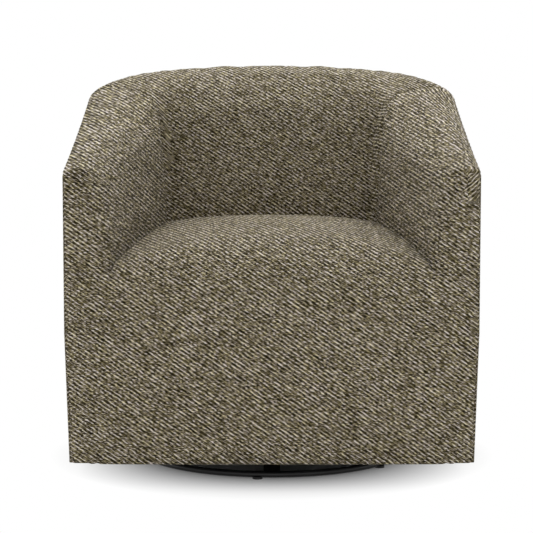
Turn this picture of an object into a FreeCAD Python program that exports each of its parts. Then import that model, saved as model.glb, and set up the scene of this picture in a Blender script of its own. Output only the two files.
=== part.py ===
"""Upholstered barrel armchair on a swivel rocker base. Millimetres, +Z up, the chair faces -Y.

The origin is on the floor under the swivel's axis, which is the middle of the chair's plan.
From the floor up: a steel ring on glides, a ball bearing round a king pin, a turntable that
carries a cross axle and four coil springs, and the chair's wooden frame with its padding.
"""

import FreeCAD, Part
import math
import os

import Sketcher
from FreeCAD import Placement, Rotation, Vector

doc = FreeCAD.newDocument("swivel_rocker")
sheet = doc.addObject("Spreadsheet::Sheet", "sizes")

# Driving sizes, each with what it measures
DRIVING_SIZES = [
    ("overall_width", 790, "across the arms"),
    ("overall_depth", 790, "front to outside back"),
    ("back_height", 802, "floor to the top of the back, at its middle"),
    ("arm_height", 610, "floor to the top of an arm, at its front"),
    ("top_crown", 24, "rise of the top line from the sides to the middle"),
    ("top_sag", 9, "how far the top line of a side hangs below a straight line from front to back"),
    ("underside", 50, "floor to the hem of the cover"),
    ("hem_taper", 7.5, "how far the cover draws in at the hem, each side"),
    ("taper_top", 300, "height at which the taper ends"),
    ("rear_corner", 165, "plan radius of the rear corners"),
    ("front_corner", 22, "plan radius of the front corners"),
    ("back_bow", 10, "bow of the outside back"),
    ("front_bow", 12, "bow of the front"),
    ("arm_seam", 416, "front seam between an arm and the front panel"),
    ("inside_front", 628, "between the arms at the front, at the arm seam"),
    ("inside_rear", 452, "between the arms at the back, at the arm seam"),
    ("inside_corner", 26, "plan radius where an arm meets the back"),
    ("seat_depth", 556, "front to inside back, at the arm seam"),
    ("arm_lean", 0.21, "outward lean of an inside arm at the front, per unit of height"),
    ("arm_lean_rear", 0.03, "outward lean of an inside arm at the back"),
    ("back_lean", 0.26, "rearward lean of the inside back, per unit of height"),
    ("arm_roll", 20, "radius of an arm's inner top edge at the front"),
    ("back_roll", 54, "radius of the back's inner top edge"),
    ("top_edge", 8, "radius of the outer top edge"),
    ("pad_crown", 8, "crown of the inside faces"),
    ("front_layer", 26, "depth of the front panel and of the arm fronts"),
    ("pad_thickness", 20, "foam of the inside arms and back"),
    ("top_padding", 38, "padding above the frame's top rails"),
    ("cover", 3, "outside cover with its wadding"),
    ("panel", 4, "fibreboard under the outside cover"),
    ("lip_drop", 14, "top of the outside cover below the top line"),
    ("fit_gap", 0.5, "between the seat pad and the inside faces"),
    ("seat_crown", 486, "floor to the top of the seat"),
    ("seat_front", 478, "height at the back of the front roll, at the middle"),
    ("seat_rear", 478, "height of the seat at its rear middle"),
    ("seat_corner", 422, "height of the seat at its front corners"),
    ("seat_side", 440, "height of the seat at its sides, halfway back"),
    ("seat_rear_corner", 456, "height of the seat at its rear corners"),
    ("seat_nose", 100, "radius of the seat's front roll at its middle"),
    ("seat_nose_side", 46, "radius of the seat's front roll at its sides"),
    ("seat_quarter", 0.74, "share of the crown kept halfway to a side"),
    ("board", 22, "thickness of the frame's boards"),
    ("post", 40, "side of the frame's posts"),
    ("bottom_rail", 116, "height of the bottom rails"),
    ("hem_gap", 3, "hem below the frame"),
    ("seat_rail_top", 345, "top of the seat rails"),
    ("seat_rail", 46, "height of the seat rails"),
    ("top_rail", 40, "height of the top rails"),
    ("arm_rail", 60, "outside of the arm to the inner edge of its top rail"),
    ("back_board", 38, "outside back to the outer face of the rear boards"),
    ("band_width", 50, "back webbing, width"),
    ("band_thickness", 2, "back webbing"),
    ("deck_wire", 4, "zigzag spring wire"),
    ("deck_pitch", 112, "between zigzag springs"),
    ("zigzag_width", 52, "zigzag spring, side to side"),
    ("clip_width", 16, "spring clip, side to side"),
    ("clip_length", 18, "spring clip, front to back"),
    ("clip_skin", 0.8, "spring clip above and below the wire"),
    ("deck_felt", 5, "felt over the springs"),
    ("dust_sheet", 1.2, "dust cover under the frame"),
    ("dust_opening", 280, "side of the opening in the dust cover"),
    ("ring_radius", 268, "floor ring, centre line"),
    ("ring_tube", 13, "floor ring's tube"),
    ("glide_height", 2.5, "glide below the ring"),
    ("glide_width", 20, "glide"),
    ("cross_width", 32, "cross arm, width"),
    ("cross_height", 12, "cross arm, height"),
    ("hub_radius", 80, "hub plate"),
    ("hub_thickness", 3, "hub plate"),
    ("race_radius", 62, "ball track"),
    ("race_width", 20, "race, across its section"),
    ("race_height", 5, "race"),
    ("race_gap", 4, "between the two races"),
    ("ball_radius", 4, "bearing ball"),
    ("ball_play", 0.1, "clearance of a ball in its tracks"),
    ("cage_width", 14, "ball cage, across its section"),
    ("cage_thickness", 2, "ball cage"),
    ("pin_radius", 10, "king pin"),
    ("pin_head_radius", 15, "king pin's head"),
    ("pin_head", 5, "king pin's head, height"),
    ("bush_wall", 3, "bushes"),
    ("run_gap", 0.05, "radial clearance of a running fit"),
    ("lift_gap", 0.3, "end play of the swivel and of the rock axle"),
    ("plate_width", 224, "turntable plate"),
    ("plate_thickness", 4, "turntable plate"),
    ("plate_corner", 20, "turntable plate's corners"),
    ("stand_half", 70, "outer face of a stand ear from the middle"),
    ("stand_metal", 5, "stand"),
    ("stand_width", 64, "stand, front to back"),
    ("axle_height", 103, "rock axle above the floor"),
    ("axle_radius", 7, "rock axle"),
    ("ear_metal", 6, "rocker ears"),
    ("ear_width", 56, "rocker ears, front to back"),
    ("ear_below", 18, "rocker and stand ears past the axle's centre"),
    ("ear_gap", 2, "between the stand's ears and the rocker's"),
    ("clip_metal", 1.5, "axle clip"),
    ("clip_wall", 4, "axle clip outside the axle"),
    ("rocker_height", 128, "underside of the rocker plate"),
    ("rocker_length", 290, "rocker plate, side to side"),
    ("rocker_width", 236, "rocker plate, front to back"),
    ("rocker_metal", 4, "rocker plate"),
    ("rocker_corner", 16, "rocker plate's corners"),
    ("spring_x", 44, "spring from the middle, sideways"),
    ("spring_y", 82, "spring from the middle, front to back"),
    ("spring_radius", 17, "spring's mean radius"),
    ("spring_wire", 5, "spring wire"),
    ("cup_radius", 23, "spring cup"),
    ("cup_base", 2.5, "spring cup's base"),
    ("cup_boss", 9, "spring cup's boss"),
    ("boss_gap", 1, "between a boss and its spring"),
    ("rail_x", 112, "mechanism rail from the middle"),
    ("rail_width", 56, "mechanism rail"),
    ("rail_height", 34, "mechanism rail"),
    ("bolt_radius", 4, "frame bolt"),
    ("bolt_y", 92, "frame bolt from the middle"),
    ("bolt_head_radius", 9, "frame bolt's head"),
    ("bolt_head", 4, "frame bolt's head, height"),
    ("bolt_spare", 3, "bolt past its nut"),
    ("nut_radius", 7.5, "frame nut, across its corners"),
    ("nut_height", 6, "frame nut"),
]
for row, (alias, number, meaning) in enumerate(DRIVING_SIZES, 1):
    sheet.set(f"A{row}", alias)
    sheet.set(f"B{row}", str(number))
    sheet.set(f"C{row}", meaning)
    sheet.setAlias(f"B{row}", alias)
doc.recompute()

GLIDES = 6
BALLS = 18
SPRING_TURNS = 6
ZIGZAG_RUNS = 20
ZIGZAG_SPRINGS = 5
BANDS = 4
SIDES = (("left", -1), ("right", 1))
ENDS = (("front", -1), ("rear", 1))

def size(alias):
    """The number in a cell of the sheet."""
    return float(sheet.get(alias))


def formula_value(formula):
    """The value of a formula of cells, such as 'sizes.cover + sizes.panel'."""
    return float(sheet.evalExpression(formula))


parts = []


def keep(thing, name):
    """Marks an object of the document as a sub-part under its own name."""
    thing.Label = name
    parts.append(thing)
    return thing


def bind(thing, **formulas):
    """Binds properties to formulas of the sheet. A double underscore stands for a dot."""
    for prop, formula in formulas.items():
        thing.setExpression(prop.replace("__", "."), formula)
    return thing


def place(thing, x="0", y="0", z="0"):
    """Binds an object's position."""
    return bind(thing, Placement__Base__x=x, Placement__Base__y=y, Placement__Base__z=z)


def cylinder(name, radius, height, x="0", y="0", z="0"):
    made = doc.addObject("Part::Cylinder", name)
    return place(bind(made, Radius=radius, Height=height), x, y, z)


def cross_cylinder(name, radius, x_start, x_end, y, z):
    """A cylinder along X."""
    made = doc.addObject("Part::Cylinder", name)
    bind(made, Radius=radius, Height=f"({x_end}) - ({x_start})")
    made.Placement = Placement(Vector(), Rotation(Vector(0, 1, 0), 90))
    return place(made, x_start, y, z)


def box(name, x_low, x_high, y_low, y_high, z_low, z_high):
    """A box between two corners."""
    made = doc.addObject("Part::Box", name)
    bind(made, Length=f"({x_high}) - ({x_low})", Width=f"({y_high}) - ({y_low})")
    bind(made, Height=f"({z_high}) - ({z_low})")
    return place(made, x_low, y_low, z_low)


def cut(name, base, tool):
    made = doc.addObject("Part::Cut", name)
    made.Base = base
    made.Tool = tool
    return made


def fuse(name, members, refine=False):
    made = doc.addObject("Part::MultiFuse", name)
    made.Shapes = members
    made.Refine = refine
    return made


def common(name, base, tool):
    made = doc.addObject("Part::Common", name)
    made.Base = base
    made.Tool = tool
    return made


def group(name, members):
    made = doc.addObject("Part::Compound", name)
    made.Links = members
    return made


def solid(name, shape):
    """A shape worked out from the sheet's numbers, where no primitive or feature fits."""
    made = doc.addObject("Part::Feature", name)
    made.Shape = shape
    return made


def new_body(name):
    return doc.addObject("PartDesign::Body", name)


def sketch_on(body, role, name):
    """A sketch on one of the body's own origin planes."""
    sketch = body.newObject("Sketcher::SketchObject", name)
    plane = next(item for item in body.Origin.OriginFeatures if item.Role == role)
    sketch.AttachmentSupport = (plane, [""])
    sketch.MapMode = "FlatFace"
    return sketch


def written_number(text):
    """The value of a formula, or of a plain number in words."""
    return formula_value(text) if "sizes" in text else float(text)


def sketch_point(point):
    """A point of a sketch, given by two formulas."""
    return Vector(written_number(point[0]), written_number(point[1]), 0)


def pin_point(sketch, edge, end, point):
    """Holds the end of an edge at a point given by two formulas."""
    for kind, axis, formula in (("DistanceX", -2, point[0]), ("DistanceY", -1, point[1])):
        number = written_number(formula)
        if number == 0:
            sketch.addConstraint(Sketcher.Constraint("PointOnObject", edge, end, axis))
        else:
            index = sketch.addConstraint(Sketcher.Constraint(kind, -1, 1, edge, end, number))
            sketch.setExpression(f"Constraints[{index}]", formula)


def draw_polygon(sketch, points):
    """A closed outline through points given by formulas."""
    places = [sketch_point(point) for point in points]
    first = sketch.GeometryCount
    count = len(points)
    for i in range(count):
        sketch.addGeometry(Part.LineSegment(places[i], places[(i + 1) % count]), False)
    for i in range(count):
        following = first + (i + 1) % count
        sketch.addConstraint(Sketcher.Constraint("Coincident", first + i, 2, following, 1))
        pin_point(sketch, first + i, 1, points[i])


def draw_circle(sketch, radius, centre=("0", "0")):
    """A circle whose radius and centre are formulas."""
    circle = Part.Circle(sketch_point(centre), Vector(0, 0, 1), formula_value(radius))
    edge = sketch.addGeometry(circle, False)
    index = sketch.addConstraint(Sketcher.Constraint("Radius", edge, formula_value(radius)))
    sketch.setExpression(f"Constraints[{index}]", radius)
    pin_point(sketch, edge, 3, centre)


def pad(body, sketch, length, midplane=False):
    feature = body.newObject("PartDesign::Pad", f"{body.Name}_pad")
    feature.Profile = sketch
    feature.Midplane = midplane
    return bind(feature, Length=length)


def pocket_through(body, sketch, name):
    """A cut both ways through the whole body."""
    feature = body.newObject("PartDesign::Pocket", name)
    feature.Profile = sketch
    feature.Type = "ThroughAll"
    feature.Midplane = True
    return feature


def revolve(body, points):
    """A body turned from a closed outline of radius and height round Z."""
    sketch = sketch_on(body, "XZ_Plane", f"{body.Name}_outline")
    draw_polygon(sketch, points)
    turn = body.newObject("PartDesign::Revolution", f"{body.Name}_turn")
    turn.Profile = sketch
    turn.ReferenceAxis = (sketch, ["V_Axis"])
    turn.Angle = 360
    return body


def upright_edges(shape):
    """Names of a shape's edges that are straight and upright."""
    names = []
    for number, edge in enumerate(shape.Edges, 1):
        low, high = edge.BoundBox.ZMin, edge.BoundBox.ZMax
        if abs(edge.Length - (high - low)) < 1e-6:
            names.append(f"Edge{number}")
    return names


def round_corners(body, radius):
    doc.recompute()
    base = body.Tip
    feature = body.newObject("PartDesign::Fillet", f"{body.Name}_corners")
    feature.Base = (base, upright_edges(base.Shape))
    return bind(feature, Radius=radius)

# Shared forms: the plan outline, the top line, the well between the arms and the frame's space
HALF_WIDTH = size("overall_width") / 2
FRONT_Y = -size("overall_depth") / 2
REAR_Y = size("overall_depth") / 2
UNDERSIDE = size("underside")
DECK_TOP = size("seat_rail_top") + 2 * size("clip_skin") + size("deck_wire") + size("deck_felt")
SPARE = 60
TALL = size("back_height") + SPARE


def flipped(point):
    """A point's twin on the other side."""
    return Vector(-point.x, point.y, point.z)


def bow_radius(corner, bow):
    """Radius of the long arc between two corners, for its bow."""
    half_chord = HALF_WIDTH - corner
    return (half_chord ** 2 + bow ** 2) / (2 * bow)


def outline(inset, height):
    """The plan outline at a height, drawn in by an inset: two long bowed ends, two sides, four corners."""
    ends = {}
    rear_end = (1, size("rear_corner"), size("back_bow"))
    front_end = (-1, size("front_corner"), size("front_bow"))
    for way, corner, bow in (rear_end, front_end):
        long_radius = bow_radius(corner, bow)
        corner_x = HALF_WIDTH - corner
        corner_y = REAR_Y - long_radius + math.sqrt((long_radius - corner) ** 2 - corner_x ** 2)
        turn = math.atan2(corner_y - (REAR_Y - long_radius), corner_x)
        radius = corner - inset
        middle = turn / 2
        on_corner = [
            Vector(corner_x + radius * math.cos(angle), way * (corner_y + radius * math.sin(angle)), height)
            for angle in (0, middle, turn)
        ]
        ends[way] = on_corner + [Vector(0, way * (REAR_Y - inset), height)]
    rear, front = ends[1], ends[-1]

    edges = [
        Part.LineSegment(front[0], rear[0]),
        Part.Arc(rear[0], rear[1], rear[2]),
        Part.Arc(rear[2], rear[3], flipped(rear[2])),
        Part.Arc(flipped(rear[2]), flipped(rear[1]), flipped(rear[0])),
        Part.LineSegment(flipped(rear[0]), flipped(front[0])),
        Part.Arc(flipped(front[0]), flipped(front[1]), flipped(front[2])),
        Part.Arc(flipped(front[2]), front[3], front[2]),
        Part.Arc(front[2], front[1], front[0]),
    ]
    return Part.Wire([edge.toShape() for edge in edges])


def upright_block(inset):
    """The whole chair's outside, drawn in by an inset, from the hem to above the top line."""
    taper_top = size("taper_top")
    hem_line, full_line = outline(inset + size("hem_taper"), UNDERSIDE), outline(inset, taper_top)
    foot = Part.makeLoft([hem_line, full_line], True, True)
    tall = Part.Face(full_line).extrude(Vector(0, 0, TALL - taper_top))
    return foot.fuse(tall).removeSplitter()


def above_top(drop):
    """Everything above the top line lowered by a drop: an arc across, carried back along a longer arc."""
    crown, sag = size("top_crown"), size("top_sag")
    rise = size("back_height") - crown - size("arm_height")
    slope = math.atan2(rise, size("overall_depth"))
    half_run = math.hypot(rise, size("overall_depth")) / 2
    across_radius = (HALF_WIDTH ** 2 + crown ** 2) / (2 * crown)
    along_radius = (half_run ** 2 + sag ** 2) / (2 * sag)

    half = HALF_WIDTH + SPARE
    ends = crown - across_radius + math.sqrt(across_radius ** 2 - half ** 2)
    low_left, low_right = Vector(-half, 0, ends), Vector(half, 0, ends)
    high_left, high_right = Vector(-half, 0, TALL), Vector(half, 0, TALL)
    edges = [
        Part.Arc(low_left, Vector(0, 0, crown), low_right).toShape(),
        Part.LineSegment(low_right, high_right).toShape(),
        Part.LineSegment(high_right, high_left).toShape(),
        Part.LineSegment(high_left, low_left).toShape(),
    ]
    section = Part.Face(Part.Wire(edges))
    across = Vector(1, 0, 0)
    section.rotate(Vector(0, 0, 0), across, math.degrees(slope))
    middle = Vector(0, 0, size("arm_height") + rise / 2 - sag - drop)
    section.translate(middle)
    centre = middle + Vector(0, -math.sin(slope), math.cos(slope)) * along_radius
    half_turn = math.degrees(math.asin((half_run + SPARE) / along_radius))
    section.rotate(centre, across, -half_turn)
    return section.revolve(centre, across, 2 * half_turn)


def well_outline(height, grow):
    """The space between the arms at a height: open in front, two sides, two corners and the inside back."""
    rise = height - size("arm_seam")
    front_half = size("inside_front") / 2 + size("arm_lean") * rise + grow
    rear_half = size("inside_rear") / 2 + size("arm_lean_rear") * rise + grow
    back_y = FRONT_Y + size("seat_depth") + size("back_lean") * rise + grow
    radius = size("inside_corner") + grow
    side_run = size("seat_depth") + size("back_lean") * rise + grow
    splay = (front_half - rear_half) / side_run
    front_y = FRONT_Y - SPARE
    front_x = front_half + splay * SPARE
    corner = Vector(rear_half, back_y, height)
    along = Vector(front_x - rear_half, front_y - back_y, 0).normalize()
    open_angle = math.acos(along.dot(Vector(-1, 0, 0)))
    trim = radius / math.tan(open_angle / 2)
    side_end = corner + along * trim
    back_end = corner + Vector(-trim, 0, 0)
    bisector = (along + Vector(-1, 0, 0)).normalize()
    middle = corner + bisector * (radius / math.sin(open_angle / 2) - radius)
    front = Vector(front_x, front_y, height)

    edges = [
        Part.LineSegment(front, side_end),
        Part.Arc(side_end, middle, back_end),
        Part.LineSegment(back_end, flipped(back_end)),
        Part.Arc(flipped(back_end), flipped(middle), flipped(side_end)),
        Part.LineSegment(flipped(side_end), flipped(front)),
        Part.LineSegment(flipped(front), front),
    ]
    return Part.Wire([edge.toShape() for edge in edges])


def well(grow, crowned=True):
    """The space between the arms, from the deck up, with the pads' crown at mid height."""
    middle = (DECK_TOP + size("back_height")) / 2
    crown = size("pad_crown") if crowned else 0
    wires = [well_outline(DECK_TOP, grow), well_outline(middle, grow - crown), well_outline(TALL, grow)]
    return Part.makeLoft(wires, True, False)


def slab(x_low, x_high, y_low, y_high, z_low, z_high):
    return Part.makeBox(x_high - x_low, y_high - y_low, z_high - z_low, Vector(x_low, y_low, z_low))


WIDE = HALF_WIDTH + SPARE
LAYER_Y = FRONT_Y + size("front_layer")


def top_edges(shape):
    """A tub's edges along its top line: those round the inside and those round the outside."""
    top = above_top(0)
    inner, outer = [], []
    for number, edge in enumerate(shape.Edges, 1):
        middle = edge.valueAt((edge.FirstParameter + edge.LastParameter) / 2)
        if top.distToShape(Part.Vertex(middle))[0] > 0.01:
            continue
        outside = outline(0, middle.z).distToShape(Part.Vertex(middle))[0] < 0.01
        if outside:
            outer.append((number, edge))
        elif middle.y > LAYER_Y:
            inner.append((number, edge))
    return inner, outer


def roll_radius(point):
    """The inner top edge's radius: it grows from the arm's front to the back."""
    run = (point.y - FRONT_Y) / (size("seat_depth") + size("back_roll"))
    return size("arm_roll") + (size("back_roll") - size("arm_roll")) * min(1, max(0, run))


def tub():
    """Arms and back in one, from the deck up, with their rolled top edges."""
    raw = upright_block(0).cut(above_top(0)).cut(well(0))
    raw = raw.common(slab(-WIDE, WIDE, FRONT_Y - SPARE, REAR_Y + SPARE, DECK_TOP, TALL))
    plain = solid("tub_plain", raw.Solids[0])
    inner = top_edges(plain.Shape)[0]
    rolled = doc.addObject("Part::Fillet", "tub_rolled")
    rolled.Base = plain
    rolled.Edges = [
        (number, *(roll_radius(edge.valueAt(end)) for end in edge.ParameterRange)) for number, edge in inner
    ]
    doc.recompute()
    edged = doc.addObject("Part::Fillet", "tub_edged")
    edged.Base = rolled
    outer = top_edges(rolled.Shape)[1]
    edged.Edges = [(number, size("top_edge"), size("top_edge")) for number, edge in outer]
    doc.recompute()
    return edged.Shape


def frame_zone():
    """The room for the wooden frame: inside the panel and the padding, behind the front layer."""
    room = upright_block(size("cover") + size("panel")).cut(above_top(size("top_padding")))
    room = room.cut(well(size("pad_thickness"), crowned=False))
    low = UNDERSIDE + size("hem_gap")
    return room.common(slab(-WIDE, WIDE, LAYER_Y, REAR_Y, low, TALL))


def layer(inner_inset, outer_inset, low):
    """A shell of the outside behind the front layer, up to the lip."""
    shell = upright_block(outer_inset).cut(upright_block(inner_inset)).cut(above_top(size("lip_drop")))
    return shell.common(slab(-WIDE, WIDE, LAYER_Y, REAR_Y + SPARE, low, TALL))


def mitre_wedge():
    """The back's share of the tub: between two upright planes from the inside corners outwards."""
    crease_x = size("inside_rear") / 2
    crease_y = FRONT_Y + size("seat_depth")
    lead = size("pad_thickness")
    run = REAR_Y + SPARE - crease_y
    near = Vector(crease_x - lead, crease_y - lead, 0)
    far = Vector(crease_x + run, crease_y + run, 0)
    corners = [flipped(near), near, far, flipped(far)]
    return Part.Face(Part.makePolygon(corners + corners[:1])).extrude(Vector(0, 0, 2 * TALL))




# Heights of the base and the mechanism, from the floor up
RING_Z = "sizes.glide_height + sizes.ring_tube / 2"
HUB_Z = f"{RING_Z} + sizes.cross_height / 2"
RACE_Z = f"{HUB_Z} + sizes.hub_thickness"
TRACK_Z = f"{RACE_Z} + sizes.race_height + sizes.race_gap / 2"
UPPER_RACE_Z = f"{RACE_Z} + sizes.race_height + sizes.race_gap"
PLATE_Z = f"{UPPER_RACE_Z} + sizes.race_height"
PLATE_TOP = f"{PLATE_Z} + sizes.plate_thickness"
PIN_FOOT = f"{RING_Z} - sizes.cross_height / 2"
BUSH_RADIUS = "sizes.pin_radius + sizes.run_gap + sizes.bush_wall"
AXLE_BUSH_RADIUS = "sizes.axle_radius + sizes.run_gap + sizes.bush_wall"
ROCKER_TOP = "sizes.rocker_height + sizes.rocker_metal"
EAR_INSIDE = "sizes.stand_half + sizes.ear_gap"
EAR_OUTSIDE = f"{EAR_INSIDE} + sizes.ear_metal"
SPRING_FOOT = f"{PLATE_TOP} + sizes.cup_base"
SPRING_TOP = "sizes.rocker_height - sizes.cup_base"


def span(near, far, way):
    """The low and high ends along X of something on the right, or of its twin on the left."""
    return (near, far) if way > 0 else (f"-({far})", f"-({near})")


def rounded_plate(name, length, width, thickness, corner, height, holes):
    """A flat plate with rounded corners and holes, each hole a radius and a centre."""
    body = new_body(name)
    sketch = sketch_on(body, "XY_Plane", f"{name}_outline")
    x, y = f"{length} / 2", f"{width} / 2"
    draw_polygon(sketch, [(f"-{x}", f"-{y}"), (x, f"-{y}"), (x, y), (f"-{x}", y)])
    pad(body, sketch, thickness)
    round_corners(body, corner)
    cutter = sketch_on(body, "XY_Plane", f"{name}_holes")
    for radius, centre in holes:
        draw_circle(cutter, radius, centre)
    pocket_through(body, cutter, f"{name}_drilled")
    return place(body, z=height)


# Floor base: ring, cross arms, glides, hub plate
def floor_base():
    ring = doc.addObject("Part::Torus", "base_ring")
    place(bind(ring, Radius1="sizes.ring_radius", Radius2="sizes.ring_tube / 2"), z=RING_Z)
    keep(ring, "base_ring")
    half, low = "sizes.cross_width / 2", f"{RING_Z} - sizes.cross_height / 2"
    reach, high = "sizes.ring_radius", f"{RING_Z} + sizes.cross_height / 2"
    bars = [
        box("cross_bar_x", f"-{reach}", reach, f"-{half}", half, low, high),
        box("cross_bar_y", f"-{half}", half, f"-{reach}", reach, low, high),
    ]
    pin_hole = cylinder("cross_hole", "sizes.pin_radius", "sizes.cross_height", z=low)
    crossed = cut("cross_blank", fuse("cross_bars", bars), pin_hole)
    keep(cut("cross_arms", crossed, ring), "cross_arms")
    glides = []
    for i in range(GLIDES):
        turn = 360 * (i + 0.4) / GLIDES
        x, y = (f"sizes.ring_radius * {trig}({turn:.1f} deg)" for trig in ("cos", "sin"))
        height = "sizes.glide_height + sizes.ring_tube / 8"
        glides.append(cylinder(f"glide_{i + 1}", "sizes.glide_width / 2", height, x, y))
    keep(cut("floor_glides", group("glide_blanks", glides), ring), "floor_glides")
    hub = new_body("hub_plate")
    disc = sketch_on(hub, "XY_Plane", "hub_disc")
    draw_circle(disc, "sizes.hub_radius")
    draw_circle(disc, "sizes.pin_radius")
    pad(hub, disc, "sizes.hub_thickness")
    keep(place(hub, z=HUB_Z), "hub_plate")


def race(name, height, track_height):
    """A race: a flat ring with the balls' track cut into one face."""
    body = new_body(name)
    inner, outer = ("sizes.race_radius - sizes.race_width / 2", "sizes.race_radius + sizes.race_width / 2")
    revolve(body, [(inner, "0"), (outer, "0"), (outer, "sizes.race_height"), (inner, "sizes.race_height")])
    sketch = sketch_on(body, "XZ_Plane", f"{name}_track")
    draw_circle(sketch, "sizes.ball_radius + sizes.ball_play", ("sizes.race_radius", track_height))
    groove = body.newObject("PartDesign::Groove", f"{name}_groove")
    groove.Profile = sketch
    groove.ReferenceAxis = (sketch, ["V_Axis"])
    groove.Angle = 360
    keep(place(body, z=height), name)


# Swivel bearing: two races, caged balls, king pin and its bush
def swivel_bearing():
    race("lower_race", RACE_Z, "sizes.race_height + sizes.race_gap / 2")
    race("upper_race", UPPER_RACE_Z, "-sizes.race_gap / 2")
    balls, pockets = [], []
    for i in range(BALLS):
        x, y = (f"sizes.race_radius * {trig}({360 * i / BALLS:.1f} deg)" for trig in ("cos", "sin"))
        ball = doc.addObject("Part::Sphere", f"ball_{i + 1}")
        balls.append(place(bind(ball, Radius="sizes.ball_radius"), x, y, TRACK_Z))
        pocket = doc.addObject("Part::Sphere", f"ball_pocket_{i + 1}")
        pockets.append(place(bind(pocket, Radius="sizes.ball_radius + sizes.ball_play"), x, y, TRACK_Z))
    keep(group("bearing_balls", balls), "bearing_balls")
    low = f"{TRACK_Z} - sizes.cage_thickness / 2"
    outer = cylinder("cage_disc", "sizes.race_radius + sizes.cage_width / 2", "sizes.cage_thickness", z=low)
    inner = cylinder("cage_bore", "sizes.race_radius - sizes.cage_width / 2", "sizes.cage_thickness", z=low)
    keep(cut("ball_cage", cut("cage_ring", outer, inner), group("ball_pockets", pockets)), "ball_cage")
    pin = new_body("king_pin")
    neck = f"{PLATE_TOP} + sizes.lift_gap - ({PIN_FOOT})"
    revolve(pin, [
        ("0", "0"), ("sizes.pin_radius", "0"), ("sizes.pin_radius", neck), ("sizes.pin_head_radius", neck),
        ("sizes.pin_head_radius", f"{neck} + sizes.pin_head"), ("0", f"{neck} + sizes.pin_head"),
    ])
    keep(place(pin, z=PIN_FOOT), "king_pin")
    height = "sizes.race_height + sizes.plate_thickness"
    tube = cylinder("pin_bush_tube", BUSH_RADIUS, height, z=UPPER_RACE_Z)
    bore = cylinder("pin_bush_bore", "sizes.pin_radius + sizes.run_gap", height, z=UPPER_RACE_Z)
    keep(cut("pin_bush", tube, bore), "pin_bush")


def spring_places():
    for side, x_way in SIDES:
        for end, y_way in ENDS:
            yield f"{end}_{side}", f"{x_way} * sizes.spring_x", f"{y_way} * sizes.spring_y"


def spring_cup(name, x, y, height, way):
    """A cup: a disc with a boss that enters the spring, up or down."""
    body = new_body(name)
    boss = "sizes.spring_radius - sizes.spring_wire / 2 - sizes.boss_gap"
    base, top = f"{way} * sizes.cup_base", f"{way} * (sizes.cup_base + sizes.cup_boss)"
    rim = "sizes.cup_radius"
    revolve(body, [("0", "0"), (rim, "0"), (rim, base), (boss, base), (boss, top), ("0", top)])
    return place(body, x, y, height)


def biarc(start, start_way, end, end_way):
    """Two arcs that leave one point and reach another in the given directions."""
    gap = end - start
    ways = start_way + end_way
    linear = gap.dot(ways)
    scale = 2 * (1 - start_way.dot(end_way))
    reach = (-linear + math.sqrt(linear ** 2 + scale * gap.dot(gap))) / scale
    joint = (start + start_way * reach + end - end_way * reach) * 0.5
    return [arc_from(start, start_way, joint), arc_from(end, end_way * -1, joint, True)]


def arc_from(start, way, end, backwards=False):
    """The arc that leaves a point in a direction and ends at another."""
    chord = end - start
    along = Vector(chord).normalize()
    half_turn = math.acos(max(-1, min(1, way.dot(along))))
    side = (way - along * way.dot(along)).normalize()
    middle = start + chord * 0.5 + side * (chord.Length / 2 * math.tan(half_turn / 2))
    points = (end, middle, start) if backwards else (start, middle, end)
    return Part.Arc(*points).toShape()


def coil(radius, wire, height, turns):
    """A coil spring on the Z axis, its wire one unbroken tube on quarter-turn biarcs."""
    rise = height - wire
    steps = turns * 4
    slope = rise / (turns * 2 * math.pi)

    def at(step):
        angle = step * math.pi / 2
        point = Vector(radius * math.cos(angle), radius * math.sin(angle), wire / 2 + rise * step / steps)
        way = Vector(-radius * math.sin(angle), radius * math.cos(angle), slope).normalize()
        return point, way

    edges = []
    for step in range(steps):
        edges += biarc(*at(step), *at(step + 1))
    path = Part.Wire(edges)
    start, way = at(0)
    section = Part.Wire(Part.makeCircle(wire / 2, start, way))
    made = path.makePipeShell([section], True, False)
    print(f"rocker spring: least gap between turns {rise / turns - wire:.1f} mm")
    return made


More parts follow.
